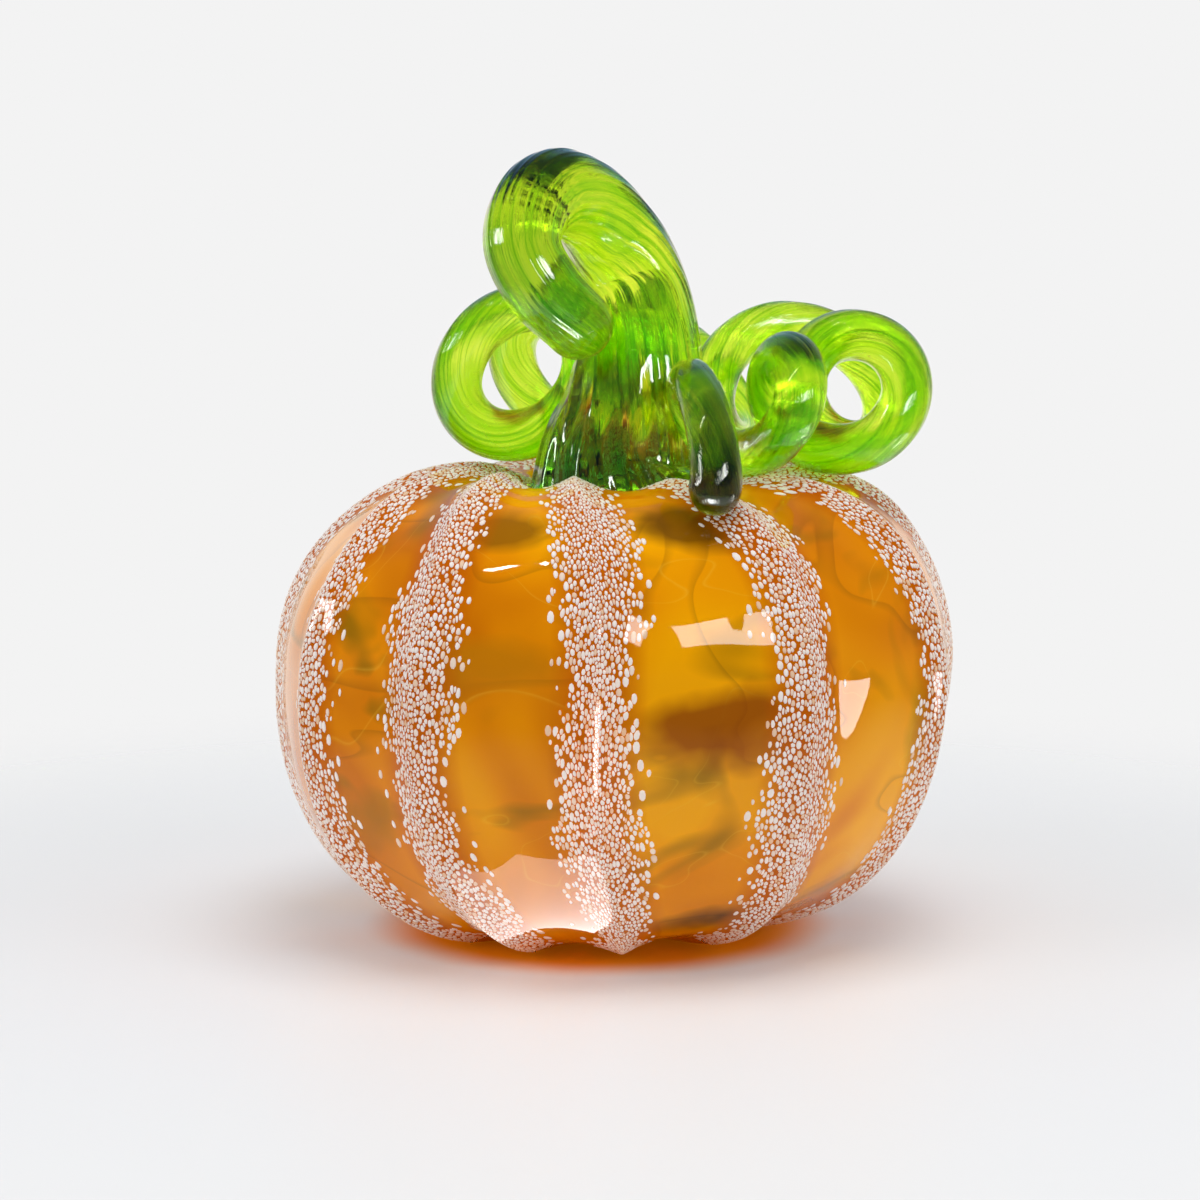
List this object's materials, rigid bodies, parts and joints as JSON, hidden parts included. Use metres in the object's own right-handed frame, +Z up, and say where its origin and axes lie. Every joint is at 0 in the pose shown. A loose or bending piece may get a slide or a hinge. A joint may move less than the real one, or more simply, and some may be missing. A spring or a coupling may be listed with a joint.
{
  "type": "blown glass pumpkin figure",
  "caption": "Hand-blown glass pumpkin on a flat base, with raised frosted ribs, a hooked green stem and a curled tendril.",
  "frame": {"origin": "centre of the flat base, on the surface that the pumpkin stands on", "axes": "+Z up through the body, -Y towards the front view, +X to the side of the large tendril coils"},
  "size_m": [0.1321, 0.1308, 0.1479],
  "materials": {
    "colour_bubble": "opaque amber colour glass, blown smooth, seen through the casing",
    "amber_casing": "fire-polished amber glass over an opaque colour layer",
    "green_stem": "hot-worked transparent green glass with fine lengthwise streaks",
    "green_tendril": "hot-drawn transparent green glass with fine twisted streaks",
    "white_frit": "crushed opaque white glass fused into the surface, slightly pebbled"
  },
  "bodies": {
    "root": {"inner_bubble": "colour_bubble", "outer_casing": "amber_casing", "stem": "green_stem", "tendril": "green_tendril", "rib_frit_01": "white_frit", "rib_frit_02": "white_frit", "rib_frit_03": "white_frit", "rib_frit_04": "white_frit", "rib_frit_05": "white_frit", "rib_frit_06": "white_frit", "rib_frit_07": "white_frit", "rib_frit_08": "white_frit", "rib_frit_09": "white_frit", "rib_frit_10": "white_frit", "rib_frit_11": "white_frit"}
  },
  "joints": []
}
